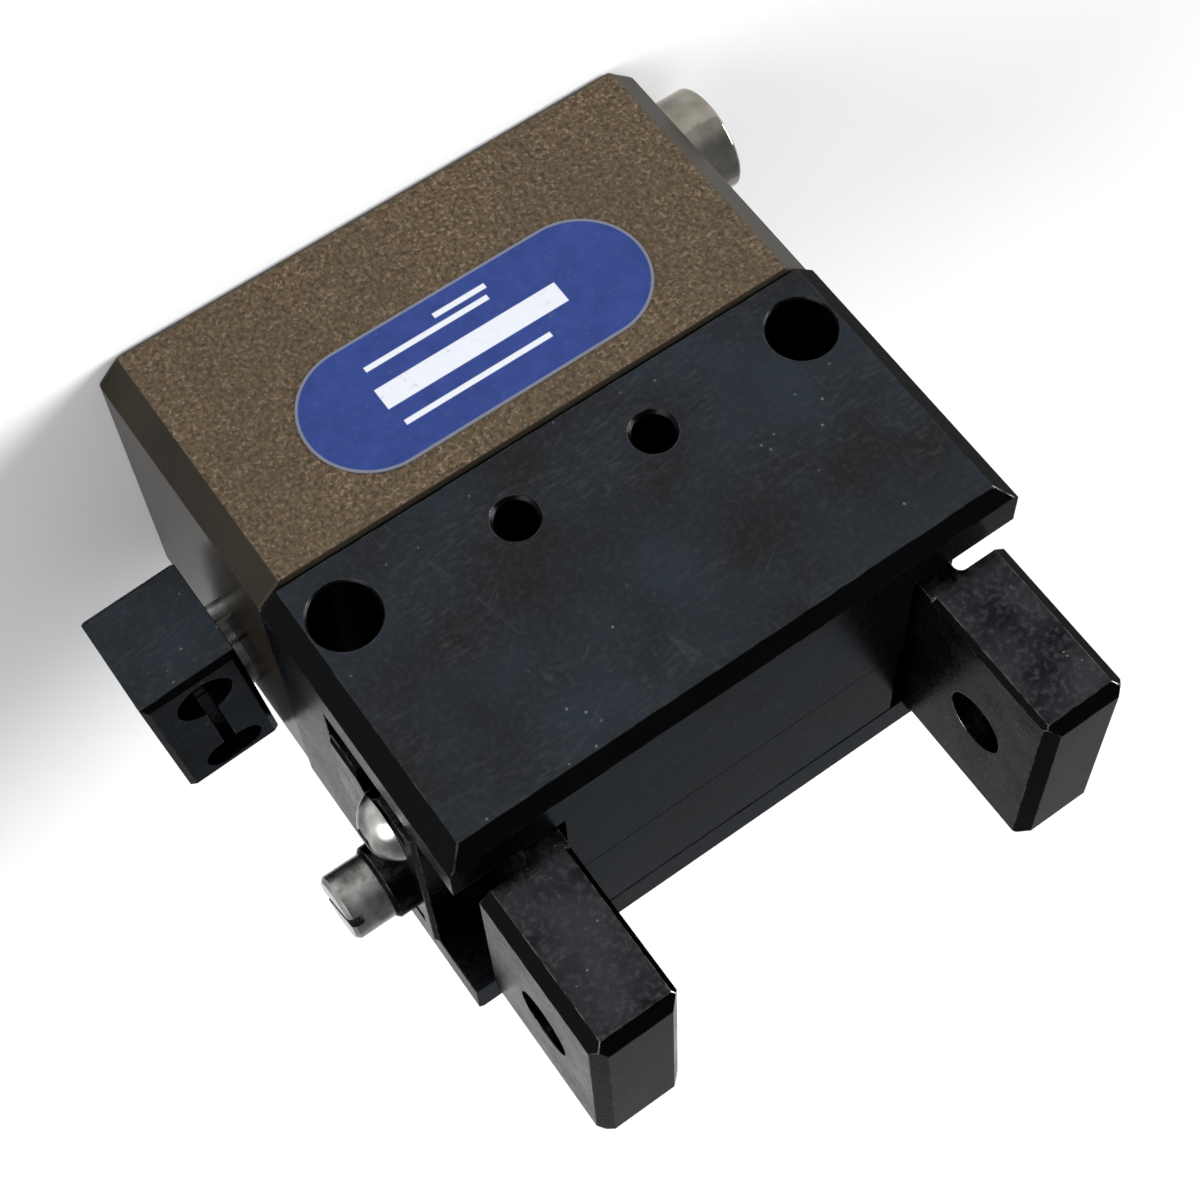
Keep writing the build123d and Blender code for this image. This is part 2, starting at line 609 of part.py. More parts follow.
# ---- switching screws on the +X jaw ----
def button_screw():
    """A round-headed screw that fills the jaw's front cam thread."""
    head_r = 2.85
    head_height = 1.9
    length = 6.0
    ball_r = (head_r**2 + head_height**2) / (2 * head_height)
    dome = Pos(0, 0, head_height - ball_r) * Sphere(ball_r)
    dome &= Pos(0, 0, head_height / 2) * Cylinder(head_r, head_height)
    shank = Pos(0, 0, -length / 2) * Cylinder(M3_R - PLAY, length)
    screw = dome + shank - Pos(0, 0, head_height) * hex_socket(2.0, 1.1)
    return Pos(JAW_BASE_X[1], -CAM_SCREW_Y, CAM_SCREW_Z) * Rot(0, 90, 0) * screw


def cam_spacer():
    """The dark bush under the switching screw's head."""
    x = (JAW_BASE_X[1], JAW_BASE_X[1] + SPACER_LENGTH)
    bush = rod_x(SPACER_R, x, CAM_SCREW_Y, CAM_SCREW_Z)
    bush = chamfer(bush.edges().group_by(Axis.X)[-1], 0.3)
    return bush - rod_x(M3_R + PLAY, (x[0] - 1, x[1] + 1), CAM_SCREW_Y, CAM_SCREW_Z)


def cam_screw():
    """The slotted cheese-head screw whose head passes the sensor."""
    head_height = 3.4
    length = 8.0
    slot_width = 0.8
    slot_depth = 1.1
    slot_turn = 35
    head = Pos(0, 0, head_height / 2) * Cylinder(M3_HEAD_R, head_height)
    head = chamfer(head.edges().group_by(Axis.Z)[-1], 0.3)
    shank = Pos(0, 0, -length / 2) * Cylinder(M3_R - PLAY, length)
    slot = Pos(0, 0, head_height) * Rot(0, 0, slot_turn) * Box(8, slot_width, 2 * slot_depth)
    screw = head + shank - slot
    return Pos(JAW_BASE_X[1] + SPACER_LENGTH, CAM_SCREW_Y, CAM_SCREW_Z) * Rot(0, 90, 0) * screw


# ---- sensor bracket ----
def sensor_bracket():
    """A clamping block: the sensor's bore opens through a slit into a relief slot."""
    body = block(BRACKET_X, BRACKET_Y, BRACKET_Z)
    body = chamfer(body.faces().sort_by(Axis.Z)[-1].edges(), 0.5)
    body = chamfer(body.faces().sort_by(Axis.Z)[0].edges(), 0.3)
    body -= rod_z(SENSOR_R, SENSOR_X, SENSOR_Y, (0, 30))
    body -= block((SENSOR_X - SLIT_WIDTH / 2, SENSOR_X + SLIT_WIDTH / 2), (SENSOR_Y, RELIEF_Y), (0, 30))
    relief = extrude(SlotOverall(RELIEF_LENGTH, RELIEF_WIDTH), amount=30)
    body -= Pos(SENSOR_X, RELIEF_Y, 0) * relief
    hinge = Pos(BRACKET_X[0], BRACKET_Y[0], 0)
    body = hinge * Rot(0, 0, BRACKET_TURN) * hinge.inverse() * body
    body -= rod_x(M3_R + 0.1, (20, 40), BRACKET_SCREW_Y, BRACKET_MIDDLE_Z)
    body -= rod_x(M3_HEAD_R + 0.1, (BRACKET_SEAT_X, 40), BRACKET_SCREW_Y, BRACKET_MIDDLE_Z)
    body -= rod_x(WASHER_R + 0.1, (20, WASHER_OUTER_X), BRACKET_SCREW_Y, BRACKET_MIDDLE_Z)
    return body - rod_x(BRACKET_PIN_R + PLAY, (20, BRACKET_PIN_END_X), BRACKET_PIN_Y, BRACKET_MIDDLE_Z)


def bracket_washer():
    """The spacer that holds the bracket off the housing's side."""
    washer = rod_x(WASHER_R, (HOUSING_HALF, WASHER_OUTER_X), BRACKET_SCREW_Y, BRACKET_MIDDLE_Z)
    return washer - rod_x(M3_R + 0.1, (20, 30), BRACKET_SCREW_Y, BRACKET_MIDDLE_Z)


def bracket_screw():
    screw = cap_screw(M3_R - PLAY, BRACKET_SEAT_X - HOUSING_HALF + 6, M3_HEAD_R, 2.2, 2.0)
    return Pos(BRACKET_SEAT_X, BRACKET_SCREW_Y, BRACKET_MIDDLE_Z) * Rot(0, 90, 0) * screw


def bracket_pin():
    """The bright locating pin between the housing and the bracket."""
    x = (HOUSING_HALF - 3.8, BRACKET_PIN_END_X)
    return rod_x(BRACKET_PIN_R, x, BRACKET_PIN_Y, BRACKET_MIDDLE_Z)


# ---- port plug and label ----
PLUG_HEAD_R = 4.6
PLUG_SEAL_R = 4.0
PLUG_SEAL_X = (-HOUSING_HALF - 0.6, -HOUSING_HALF)


def port_plug():
    """A round-headed blanking plug with a hexagon socket in the front air port."""
    head_height = 3.6
    length = 5.2
    head = Pos(0, 0, head_height / 2) * Cylinder(PLUG_HEAD_R, head_height)
    head = fillet(head.edges().group_by(Axis.Z)[-1], 0.35)
    shank = Pos(0, 0, -length / 2) * Cylinder(PORT_R - PLAY, length)
    plug = head + shank - Pos(0, 0, head_height) * hex_socket(3.0, 2.4)
    return Pos(PLUG_SEAL_X[0], -PORT_Y, PORT_Z) * Rot(0, -90, 0) * plug


def port_plug_seal():
    seal = rod_x(PLUG_SEAL_R, PLUG_SEAL_X, -PORT_Y, PORT_Z)
    return seal - rod_x(PORT_R + 0.1, (-30, -20), -PORT_Y, PORT_Z)


def label():
    """A plain round-ended label on the front of the housing."""
    outline = extrude(SlotOverall(LABEL_LENGTH, LABEL_WIDTH), amount=LABEL_THICKNESS)
    return Pos(LABEL_X, FRONT_Y, LABEL_Z) * Rot(90, 0, 0) * outline


SINGLE_NODES = {
    "housing": housing,
    "cylinder_cover": cylinder_cover,
    "cover_o_ring": cover_o_ring,
    "retaining_ring": retaining_ring,
    "piston": piston,
    "piston_seal": piston_seal,
    "piston_screw": piston_screw,
    "rod_seal": rod_seal,
    "wedge_hook": wedge_hook,
    "guide_block": guide_block,
    "slot_cover": slot_cover,
    "cover_pins": cover_pins,
    "block_screws": block_screws,
    "dowel_pins": dowel_pins,
    "channel_plugs": channel_plugs,
    "rail_screws": rail_screws,
    "button_screw": button_screw,
    "cam_spacer": cam_spacer,
    "cam_screw": cam_screw,
    "sensor_bracket": sensor_bracket,
    "bracket_washer": bracket_washer,
    "bracket_screw": bracket_screw,
    "bracket_pin": bracket_pin,
    "port_plug": port_plug,
    "port_plug_seal": port_plug_seal,
    "label": label,
}

for node, make in SINGLE_NODES.items():
    save(make(), node)

save(guide_rail(-1), "front_rail")
save(guide_rail(1), "rear_rail")

# The +X jaw and its rollers are made once and mirrored for the -X side.
right_jaw = jaw()
save(right_jaw, "right_jaw")
save(mirrored(right_jaw), "left_jaw")
for side_name, side in (("front", -1), ("rear", 1)):
    cage = roller_cage(side)
    save(cage, f"right_{side_name}_cage")
    save(mirrored(cage), f"left_{side_name}_cage")
right_rollers = rollers()
save(right_rollers, "right_rollers")
save([mirrored(roller) for roller in right_rollers], "left_rollers")
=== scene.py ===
import json
import math

import bmesh
import bpy
from mathutils import Matrix, Vector


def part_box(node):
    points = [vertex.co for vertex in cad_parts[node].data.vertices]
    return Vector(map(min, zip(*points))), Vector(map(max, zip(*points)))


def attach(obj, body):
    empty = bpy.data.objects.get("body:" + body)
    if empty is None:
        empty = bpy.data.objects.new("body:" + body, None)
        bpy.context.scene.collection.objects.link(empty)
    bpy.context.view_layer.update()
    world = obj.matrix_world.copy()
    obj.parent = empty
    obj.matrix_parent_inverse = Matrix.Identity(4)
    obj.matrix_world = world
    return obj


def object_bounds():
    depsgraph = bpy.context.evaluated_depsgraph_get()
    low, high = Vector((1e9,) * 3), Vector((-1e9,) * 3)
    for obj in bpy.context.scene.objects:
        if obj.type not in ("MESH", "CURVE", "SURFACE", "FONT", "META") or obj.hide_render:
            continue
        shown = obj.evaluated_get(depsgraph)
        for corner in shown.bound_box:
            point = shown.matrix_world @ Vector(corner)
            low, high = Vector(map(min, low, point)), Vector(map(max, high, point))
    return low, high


# A two-finger gripper: its CAD nodes get their finishes here, and the screw threads are added as pieces.
# Lengths are in metres, like the frame. Texture sizes are per millimetre.

MM = 0.001
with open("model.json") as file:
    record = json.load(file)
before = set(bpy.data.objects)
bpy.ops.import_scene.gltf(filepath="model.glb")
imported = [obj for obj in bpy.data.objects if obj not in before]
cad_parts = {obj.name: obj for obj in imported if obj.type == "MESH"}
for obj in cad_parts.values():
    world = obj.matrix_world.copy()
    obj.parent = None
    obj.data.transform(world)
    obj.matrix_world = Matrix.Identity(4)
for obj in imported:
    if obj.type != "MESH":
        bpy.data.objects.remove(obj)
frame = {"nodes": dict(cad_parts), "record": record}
cad_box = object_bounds()


# ---------------------------------------------------------------- node helpers
class Recipe:
    """One material, with short calls for the nodes that the recipes below share."""

    def __init__(self, name):
        self.material = bpy.data.materials.new(name)
        self.material.use_nodes = True
        self.tree = self.material.node_tree
        self.tree.nodes.clear()
        self.surface = self.tree.nodes.new("ShaderNodeBsdfPrincipled")
        output = self.tree.nodes.new("ShaderNodeOutputMaterial")
        self.tree.links.new(self.surface.outputs[0], output.inputs[0])
        place = self.tree.nodes.new("ShaderNodeTexCoord").outputs["Object"]
        self.place = self.vector("SCALE", place, scale=1 / MM)

    def put(self, socket, value):
        """Sets an input to a number or colour, or links it to another node's output."""
        if isinstance(value, bpy.types.NodeSocket):
            self.tree.links.new(value, socket)
        elif isinstance(value, tuple) and len(value) == 3 and socket.type == "RGBA":
            socket.default_value = (*value, 1.0)
        else:
            socket.default_value = value

    def add(self, kind, **inputs):
        node = self.tree.nodes.new("ShaderNode" + kind)
        for name, value in inputs.items():
            self.put(node.inputs[name], value)
        return node

    def vector(self, operation, first, second=None, scale=None):
        node = self.tree.nodes.new("ShaderNodeVectorMath")
        node.operation = operation
        self.put(node.inputs[0], first)
        if second is not None:
            self.put(node.inputs[1], second)
        if scale is not None:
            self.put(node.inputs["Scale"], scale)
        return node.outputs["Value" if operation == "DOT_PRODUCT" else "Vector"]

    def math(self, operation, *values):
        node = self.tree.nodes.new("ShaderNodeMath")
        node.operation = operation
        for socket, value in zip(node.inputs, values):
            self.put(socket, value)
        return node.outputs[0]

    def ramp(self, value, start, end, low=0.0, high=1.0):
        """Straight line from low at start to high at end, held beyond both."""
        node = self.add("MapRange", Value=value)
        node.inputs["From Min"].default_value = start
        node.inputs["From Max"].default_value = end
        node.inputs["To Min"].default_value = low
        node.inputs["To Max"].default_value = high
        return node.outputs["Result"]

    def mix(self, share, first, second):
        """A colour between two colours."""
        node = self.tree.nodes.new("ShaderNodeMix")
        node.data_type = "RGBA"
        self.put(node.inputs["Factor"], share)
        self.put([s for s in node.inputs if s.name == "A" and s.type == "RGBA"][0], first)
        self.put([s for s in node.inputs if s.name == "B" and s.type == "RGBA"][0], second)
        return [s for s in node.outputs if s.type == "RGBA"][0]

    def noise(self, size, detail=3.0, stretch=(1.0, 1.0, 1.0)):
        """Cloudy noise from 0 to 1 whose grains are about that many millimetres across."""
        place = self.vector("MULTIPLY", self.place, tuple(1 / s for s in stretch))
        node = self.add("TexNoise", Vector=place, Scale=1 / size, Detail=detail)
        return node.outputs["Fac"]

    def cells(self, size):
        """Distance to the nearest of many scattered points, in cell sizes."""
        return self.add("TexVoronoi", Vector=self.place, Scale=1 / size).outputs["Distance"]

    def edge(self, radius):
        """Near 1 along sharp edges and 0 on flats, with a rounded normal to shade them."""
        node = self.tree.nodes.new("ShaderNodeBevel")
        node.samples = 4
        node.inputs["Radius"].default_value = radius * MM
        flat = self.tree.nodes.new("ShaderNodeNewGeometry").outputs["Normal"]
        turned = self.vector("DOT_PRODUCT", node.outputs["Normal"], flat)
        return self.ramp(turned, 0.995, 0.86), node.outputs["Normal"]

    def facing(self, axis):
        """1 where the surface looks along that axis, either way, and 0 elsewhere."""
        normal = self.tree.nodes.new("ShaderNodeTexCoord").outputs["Normal"]
        along = self.math("ABSOLUTE", self.vector("DOT_PRODUCT", normal, axis))
        return self.ramp(along, 0.85, 0.95)

    def square_on(self):
        """1 on faces that look along X, Y or Z, and 0 on the cut corners between them."""
        sides = [self.facing(axis) for axis in ((1.0, 0.0, 0.0), (0.0, 1.0, 0.0), (0.0, 0.0, 1.0))]
        return self.math("MAXIMUM", self.math("MAXIMUM", sides[0], sides[1]), sides[2])

    def bump(self, height, depth, normal=None):
        """Surface relief: height is 0 to 1 and depth its size in millimetres."""
        node = self.add("Bump", Height=height, Distance=depth * MM, Strength=1.0)
        if normal is not None:
            self.put(node.inputs["Normal"], normal)
        return node.outputs["Normal"]

    def finish(self, colour, roughness, metallic=0.0, specular=0.5, normal=None, glancing=1.0):
        """Joins the shader: glancing below 1 dims a metal's reflections where it is seen edge on."""
        self.put(self.surface.inputs["Base Color"], colour)
        self.put(self.surface.inputs["Roughness"], roughness)
        self.put(self.surface.inputs["Metallic"], metallic)
        self.surface.inputs["Specular IOR Level"].default_value = specular
        self.surface.inputs["Specular Tint"].default_value = (glancing, glancing, glancing, 1.0)
        if normal is not None:
            self.put(self.surface.inputs["Normal"], normal)
        return self.material


# ---------------------------------------------------------------- materials
SCRATCH_STRETCH = (0.05, 0.5, 1.6)
SCRATCH_WIDTH = 0.008

# The label, in millimetres. A bar has its middle in Z, its middle in X and half its length.
RIM_WIDTH = 0.20
RIM_BLUR = 0.06
BAR_BLUR = 0.08
WIDE_BAR = (0.0, 0.4, 8.2)
WIDE_BAR_HALF = 1.05
THIN_BARS = ((-2.9, 2.6, 5.6), (-3.9, -1.0, 2.4), (2.7, 1.6, 6.6))
THIN_BAR_HALF = 0.28


def scratches(recipe, size, angle):
    """Thin short marks at an angle to X in the XZ plane, 1 on a mark."""
    turned = recipe.tree.nodes.new("ShaderNodeVectorRotate")
    turned.rotation_type = "Y_AXIS"
    turned.inputs["Angle"].default_value = math.radians(angle)
    recipe.put(turned.inputs["Vector"], recipe.place)
    drawn_out = recipe.vector("MULTIPLY", turned.outputs[0], SCRATCH_STRETCH)
    lines = recipe.add("TexNoise", Vector=drawn_out, Scale=1 / size, Detail=1.0).outputs["Fac"]
    thin = recipe.math("ABSOLUTE", recipe.math("SUBTRACT", lines, 0.5))
    line = recipe.ramp(thin, SCRATCH_WIDTH, 0.0)
    patches = recipe.ramp(recipe.noise(size * 0.6, detail=1.0), 0.60, 0.68)
    return recipe.math("MULTIPLY", line, patches)


def specks(recipe, size, share):
    """Small round dots about that many millimetres apart, 1 inside a dot."""
    close = recipe.ramp(recipe.cells(size), share, share * 0.6)
    return recipe.math("MULTIPLY", close, recipe.ramp(recipe.noise(size * 4, detail=2.0), 0.50, 0.60))


def bronze_anodised():
    """Bead-blasted bronze on the wide faces, smooth dark bronze on the ends and cut corners."""
    r = Recipe("bronze_anodised")
    worn, rounded = r.edge(0.25)
    grain = r.noise(0.40, detail=6.0)
    flecks = r.ramp(r.noise(0.26, detail=4.0), 0.55, 0.68)
    pits = r.ramp(r.noise(0.33, detail=3.0), 0.44, 0.32)
    cloud = r.noise(11.0, detail=3.0)
    brown = r.mix(r.ramp(grain, 0.36, 0.64), (0.052, 0.036, 0.020), (0.128, 0.092, 0.057))
    brown = r.mix(r.math("MULTIPLY", flecks, 0.55), brown, (0.30, 0.235, 0.165))
    brown = r.mix(r.math("MULTIPLY", pits, 0.5), brown, (0.022, 0.016, 0.010))
    brown = r.mix(r.ramp(cloud, 0.35, 0.65, 0.0, 0.35), brown, (0.060, 0.044, 0.028))
    smooth = r.mix(r.ramp(cloud, 0.3, 0.7), (0.015, 0.0115, 0.008), (0.027, 0.021, 0.014))
    wide = r.facing((0.0, 1.0, 0.0))
    colour = r.mix(wide, smooth, brown)
    colour = r.mix(r.math("MULTIPLY", worn, 0.3), colour, (0.10, 0.082, 0.060))
    roughness = r.ramp(wide, 0.0, 1.0, 0.30, 0.5)
    height = r.math("MULTIPLY", grain, wide)
    return r.finish(colour, roughness, 0.4, 0.25, r.bump(height, 0.09, rounded), 0.6)


def black_anodised():
    """Milled aluminium, anodised black: faint tool lines, bluish clouds, rubbed edges and scratches, with
    painted shade on the cut corners and along the slot cover's joint.
    """
    r = Recipe("black_anodised")
    worn, rounded = r.edge(0.16)
    lines = r.noise(0.14, detail=3.0, stretch=(30.0, 1.0, 1.0))
    mottle = r.noise(0.5, detail=6.0)
    cloud = r.noise(9.0, detail=3.0)
    marks = r.math("MAXIMUM", scratches(r, 4.0, 35.0), scratches(r, 5.0, 100.0))
    colour = r.mix(r.ramp(cloud, 0.35, 0.65), (0.019, 0.019, 0.020), (0.024, 0.031, 0.039))
    streaks = r.noise(0.26, detail=5.0, stretch=(4.0, 1.0, 1.0))
    streaky = r.ramp(r.noise(7.0, detail=2.0), 0.42, 0.60)
    ground = r.math("MULTIPLY", r.ramp(streaks, 0.50, 0.68), streaky)
    colour = r.mix(r.math("MULTIPLY", r.ramp(mottle, 0.48, 0.75), 0.45), colour, (0.045, 0.044, 0.046))
    colour = r.mix(r.math("MULTIPLY", ground, 0.26), colour, (0.070, 0.071, 0.075))
    colour = r.mix(r.math("MULTIPLY", marks, 0.10), colour, (0.16, 0.15, 0.14))
    colour = r.mix(r.math("MULTIPLY", specks(r, 1.6, 0.09), 0.6), colour, (0.20, 0.19, 0.18))
    # Painted shade: the cut corners get a near-black colour that stands in for their dark reflections.
    colour = r.mix(r.square_on(), (0.0060, 0.0062, 0.0066), colour)
    rubbed = r.math("MULTIPLY", worn, r.ramp(r.noise(1.4, detail=4.0), 0.42, 0.64))
    colour = r.mix(r.math("MULTIPLY", rubbed, 0.4), colour, (0.24, 0.23, 0.22))
    roughness = r.math("ADD", r.ramp(cloud, 0.3, 0.7, 0.24, 0.32), r.ramp(mottle, 0.3, 0.7, -0.04, 0.05))
    height = r.math("ADD", r.math("MULTIPLY", lines, 0.5), mottle)
    # Painted shade: a near-black line along the slot cover's joint stands in for the shadow in its gap.
    colour = r.mix(joint_gap_shade(r), colour, (0.0005, 0.0005, 0.0005))
    return r.finish(colour, roughness, 1.0, 0.5, r.bump(height, 0.013, rounded), 0.5)


def joint_gap_shade(r):
    """1 along the joint between the two halves of the slot cover, on their top faces only: painted shade
    for the gap between them.
    """
    low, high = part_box("slot_cover")
    outer = 0.15
    inner = 0.09
    skin = 0.1
    parts = r.add("SeparateXYZ", Vector=r.place)
    aside = r.math("ABSOLUTE", r.math("SUBTRACT", parts.outputs["Y"], low.y / MM))
    on_top = r.ramp(parts.outputs["Z"], high.z / MM - 2 * skin, high.z / MM - skin)
    return r.math("MULTIPLY", r.ramp(aside, outer, inner), on_top)


def black_steel():
    """Ground steel, blackened and oiled, with lighter rubbed patches and painted shade on the cut corners.
    """
    r = Recipe("black_steel")
    worn, rounded = r.edge(0.14)
    lines = r.noise(0.12, detail=3.0, stretch=(1.0, 30.0, 1.0))
    mottle = r.noise(0.45, detail=6.0)
    cloud = r.noise(4.5, detail=3.0)
    marks = r.math("MAXIMUM", scratches(r, 3.0, 60.0), scratches(r, 2.2, 10.0))
    colour = r.mix(r.ramp(cloud, 0.35, 0.65), (0.010, 0.011, 0.0125), (0.032, 0.033, 0.036))
    colour = r.mix(r.math("MULTIPLY", r.ramp(mottle, 0.48, 0.72), 0.6), colour, (0.064, 0.064, 0.068))
    colour = r.mix(r.math("MULTIPLY", marks, 0.20), colour, (0.18, 0.17, 0.16))
    colour = r.mix(r.math("MULTIPLY", specks(r, 1.1, 0.10), 0.6), colour, (0.24, 0.23, 0.22))
    # Painted shade: the cut corners get a near-black colour that stands in for their dark reflections.
    colour = r.mix(r.square_on(), (0.0060, 0.0060, 0.0064), colour)
    rubbed = r.math("MULTIPLY", worn, r.ramp(r.noise(1.1, detail=4.0), 0.40, 0.60))
    colour = r.mix(r.math("MULTIPLY", rubbed, 0.65), colour, (0.34, 0.325, 0.30))
    roughness = r.math("ADD", r.ramp(cloud, 0.3, 0.7, 0.20, 0.30), r.ramp(mottle, 0.3, 0.7, -0.05, 0.05))
    height = r.math("ADD", r.math("MULTIPLY", lines, 0.5), mottle)
    return r.finish(colour, roughness, 1.0, 0.5, r.bump(height, 0.013, rounded), 0.5)


def bare_metal(name, dark, light, roughness, line_stretch):
    """A bright metal with fine tool lines along one direction and a little dirt on it."""
    r = Recipe(name)
    _, rounded = r.edge(0.08)
    lines = r.noise(0.06, detail=2.0, stretch=line_stretch)
    cloud = r.noise(1.8, detail=3.0)
    colour = r.mix(r.ramp(cloud, 0.3, 0.7), dark, light)
    dirt = r.ramp(r.noise(0.7, detail=4.0), 0.60, 0.78)
    colour = r.mix(r.math("MULTIPLY", dirt, 0.45), colour, (0.12, 0.10, 0.08))
    clean = r.ramp(lines, 0.3, 0.7, roughness - 0.05, roughness + 0.06)
    rough = r.math("ADD", clean, r.math("MULTIPLY", dirt, 0.2))
    return r.finish(colour, rough, 1.0, 0.5, r.bump(lines, 0.003, rounded))


def bright_screw():
    return bare_metal("bright_screw", (0.11, 0.105, 0.10), (0.46, 0.45, 0.43), 0.24, (1.0, 1.0, 1.0))


def nickel_plate():
    return bare_metal("nickel_plate", (0.20, 0.185, 0.15), (0.32, 0.30, 0.255), 0.13, (1.0, 12.0, 12.0))


def hardened_steel():
    return bare_metal("hardened_steel", (0.26, 0.26, 0.27), (0.38, 0.38, 0.39), 0.22, (25.0, 1.0, 1.0))


def plain_aluminium():
    return bare_metal("plain_aluminium", (0.50, 0.50, 0.51), (0.60, 0.60, 0.61), 0.33, (8.0, 8.0, 1.0))


def cage_brass():
    return bare_metal("cage_brass", (0.50, 0.33, 0.12), (0.62, 0.44, 0.18), 0.28, (20.0, 1.0, 1.0))


def soft_seal(name, colour, light, grain):
    """Rubber or fibre: matt, slightly dusty, with grains of the given size."""
    r = Recipe(name)
    _, rounded = r.edge(0.12)
    grains = r.noise(grain, detail=4.0)
    dust = r.ramp(r.noise(2.5, detail=3.0), 0.5, 0.8)
    shade = r.mix(r.ramp(grains, 0.35, 0.65), colour, light)
    shade = r.mix(r.math("MULTIPLY", dust, 0.15), shade, (0.10, 0.095, 0.09))
    return r.finish(shade, r.ramp(grains, 0.3, 0.7, 0.5, 0.68), 0.0, 0.35, r.bump(grains, 0.01, rounded))


def seal_rubber():
    return soft_seal("seal_rubber", (0.008, 0.008, 0.008), (0.016, 0.016, 0.016), 0.25)


def seal_fibre():
    return soft_seal("seal_fibre", (0.03, 0.03, 0.03), (0.06, 0.058, 0.055), 0.15)


def label_film():
    """Printed film: plain blue with a pale rim and pale bars where a maker's words would be."""
    r = Recipe("label_film")
    low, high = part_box("label")
    centre = (low + high) / 2 / MM
    radius = (high.z - low.z) / 2 / MM
    straight = (high.x - low.x) / 2 / MM - radius
    parts = r.add("SeparateXYZ", Vector=r.place)
    x = r.math("SUBTRACT", parts.outputs["X"], centre.x)
    z = r.math("SUBTRACT", parts.outputs["Z"], centre.z)
    past_end = r.math("MAXIMUM", r.math("SUBTRACT", r.math("ABSOLUTE", x), straight), 0.0)
    from_middle = r.math("SQRT", r.math("ADD", r.math("POWER", past_end, 2.0), r.math("POWER", z, 2.0)))
    rim = r.ramp(from_middle, radius - RIM_WIDTH - RIM_BLUR, radius - RIM_WIDTH)
    bars = bar(r, x, z, *WIDE_BAR, WIDE_BAR_HALF)
    for spot in THIN_BARS:
        bars = r.math("MAXIMUM", bars, bar(r, x, z, *spot, THIN_BAR_HALF))
    mottle = r.noise(1.4, detail=4.0)
    scuff = r.math("MULTIPLY", r.ramp(r.noise(0.5, detail=4.0), 0.60, 0.75), 0.25)
    blue = r.mix(r.ramp(mottle, 0.3, 0.7), (0.011, 0.028, 0.145), (0.016, 0.038, 0.180))
    colour = r.mix(r.math("MULTIPLY", bars, 0.92), blue, (0.62, 0.64, 0.68))
    colour = r.mix(rim, colour, (0.13, 0.14, 0.18))
    colour = r.mix(scuff, colour, (0.09, 0.10, 0.16))
    return r.finish(colour, r.ramp(mottle, 0.3, 0.7, 0.28, 0.4), 0.0, 0.25, r.bump(mottle, 0.006))


def bar(r, x, z, across, along, half, thick):
    """1 inside one printed bar: its middle in Z and X, half its length and half its thickness, in mm."""
    inside_x = r.ramp(r.math("ABSOLUTE", r.math("SUBTRACT", x, along)), half, half - BAR_BLUR)
    inside_z = r.ramp(r.math("ABSOLUTE", r.math("SUBTRACT", z, across)), thick, thick - BAR_BLUR)
    return r.math("MULTIPLY", inside_x, inside_z)


RECIPES = {
    "brown_anodised": bronze_anodised,
    "black_anodised": black_anodised,
    "black_steel": black_steel,
    "hardened_steel": hardened_steel,
    "bright_screw": bright_screw,
    "nickel_plate": nickel_plate,
    "seal_fibre": seal_fibre,
    "seal_rubber": seal_rubber,
    "plain_aluminium": plain_aluminium,
    "cage_brass": cage_brass,
    "label_film": label_film,
}
materials = {slot: recipe() for slot, recipe in RECIPES.items()}


def dress_nodes():
    """Gives every CAD node the finish of its material slot."""
    for part in frame["record"]["subparts"]:
        piece = frame["nodes"][part["node"]]
        piece.data.materials.clear()
        piece.data.materials.append(materials[part["material_slot"]])


# ---------------------------------------------------------------- threads
THREAD_STEPS = 32

# A ridge's measures are shares of its pitch.
RIDGE_HEIGHT = 0.25
RIDGE_HALF_WIDTH = 0.42
RIDGE_ROOT = 0.02

# Pitches, the M3 hole's radius, lengths and how far in the first turn starts, in millimetres.
M3_PITCH = 0.5
M4_PITCH = 0.7
M5_PITCH = 0.8
M3_RADIUS = 1.5
M4_LENGTH = 8.0
SHORT_LENGTH = 5.0
MOUTH_INSET = 0.6
JAW_INSET = 0.3


def thread(name, core, pitch, length, start, direction):
    """A helical ridge on the wall of a hole of radius core, from start inward along direction."""
    mesh = bpy.data.meshes.new(name)
    shape = bmesh.new()
    root = RIDGE_ROOT * pitch
    half = RIDGE_HALF_WIDTH * pitch
    profile = ((root, -half), (-RIDGE_HEIGHT * pitch, 0.0), (root, half))
    last = int(length / pitch) * THREAD_STEPS
    rings = []
    for step in range(last + 1):
        angle = 2 * math.pi * step / THREAD_STEPS
        along = pitch * step / THREAD_STEPS
        fade = min(1.0, step / THREAD_STEPS, (last - step) / THREAD_STEPS)
        ring = []
        for outward, offset in profile:
            radius = core + outward * (fade if outward < 0 else 1.0)
            spot = (radius * math.cos(angle), radius * math.sin(angle), along + offset)
            ring.append(shape.verts.new(spot))
        rings.append(ring)
    for near, far in zip(rings, rings[1:]):
        for flank in (0, 1):
            shape.faces.new((near[flank], near[flank + 1], far[flank + 1], far[flank]))
    shape.normal_update()
    shape.to_mesh(mesh)
    shape.free()
    piece = bpy.data.objects.new(name, mesh)
    bpy.context.scene.collection.objects.link(piece)
    turn = Vector(direction).to_track_quat("Z", "Y").to_matrix().to_4x4()
    mesh.transform(Matrix.Translation(start) @ turn)
    for face in mesh.polygons:
        face.use_smooth = True
    return piece


